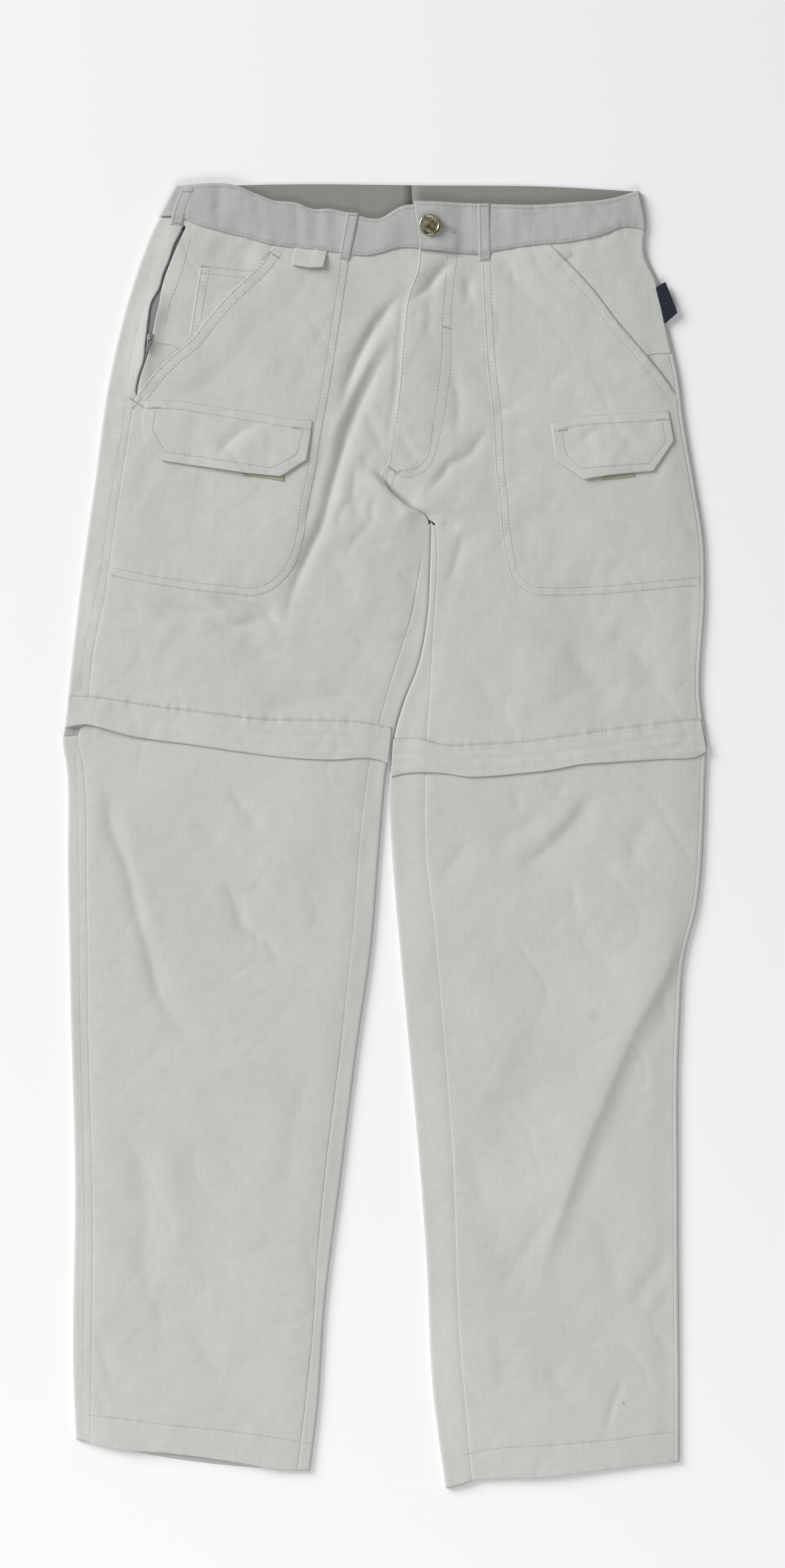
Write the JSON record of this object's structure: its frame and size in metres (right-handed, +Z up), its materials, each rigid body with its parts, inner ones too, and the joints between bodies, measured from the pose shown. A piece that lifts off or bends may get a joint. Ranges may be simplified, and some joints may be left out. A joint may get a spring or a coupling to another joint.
{
  "type": "convertible zip-off trousers",
  "caption": "Zip-off trousers laid flat with the front up: waistband, fly button, slanted and patch pockets with flaps, side-seam zip, covered knee zips and lower legs.",
  "frame": {"origin": "bottom centre of the garment's box, on the surface that it lies on", "axes": "+X to the picture's right across the legs, +Y from the hems to the waist, +Z up out of the front"},
  "size_m": [0.5277, 1.0698, 0.0134],
  "materials": {
    "cloth": "matt plain weave, stone grey-green",
    "hook_tape": "matt hook-and-loop tape",
    "zip_tape": "ribbed zip tape",
    "zip_metal": "dull grey cast metal",
    "button_metal": "antique brass, worn bright on its rim",
    "label_cloth": "woven navy label, bare"
  },
  "bodies": {
    "garment": {"waistband_left": "cloth", "waistband_right": "cloth", "front_left": "cloth", "front_right": "cloth", "back_left": "cloth", "back_right": "cloth", "lower_front_left": "cloth", "lower_front_right": "cloth", "lower_back_left": "cloth", "lower_back_right": "cloth", "hip_facing_left": "cloth", "hip_facing_right": "cloth", "coin_pocket": "cloth", "patch_pocket_left": "cloth", "patch_pocket_right": "cloth", "pocket_flap_left": "cloth", "pocket_flap_right": "cloth", "knee_cover_left": "cloth", "knee_cover_right": "cloth", "belt_loop_side_left": "cloth", "belt_loop_front_left": "cloth", "belt_loop_front_right": "cloth", "hanging_tab": "cloth", "hook_tape_left": "hook_tape", "hook_tape_right": "hook_tape", "knee_zip_left": "zip_tape", "knee_zip_right": "zip_tape", "side_zip_tape": "zip_tape", "zip_slider": "zip_metal", "waist_button": "button_metal", "label_tab": "label_cloth"},
    "pull": {"zip_pull": "zip_metal"}
  },
  "joints": [
    {"name": "zip_pull_swing", "type": "hinge", "parent": "garment", "child": "pull", "pos_m": [-0.192, 0.408, 0.01043], "axis": [-0.9781, 0.2079, 0], "range_deg": [0, 150]}
  ]
}
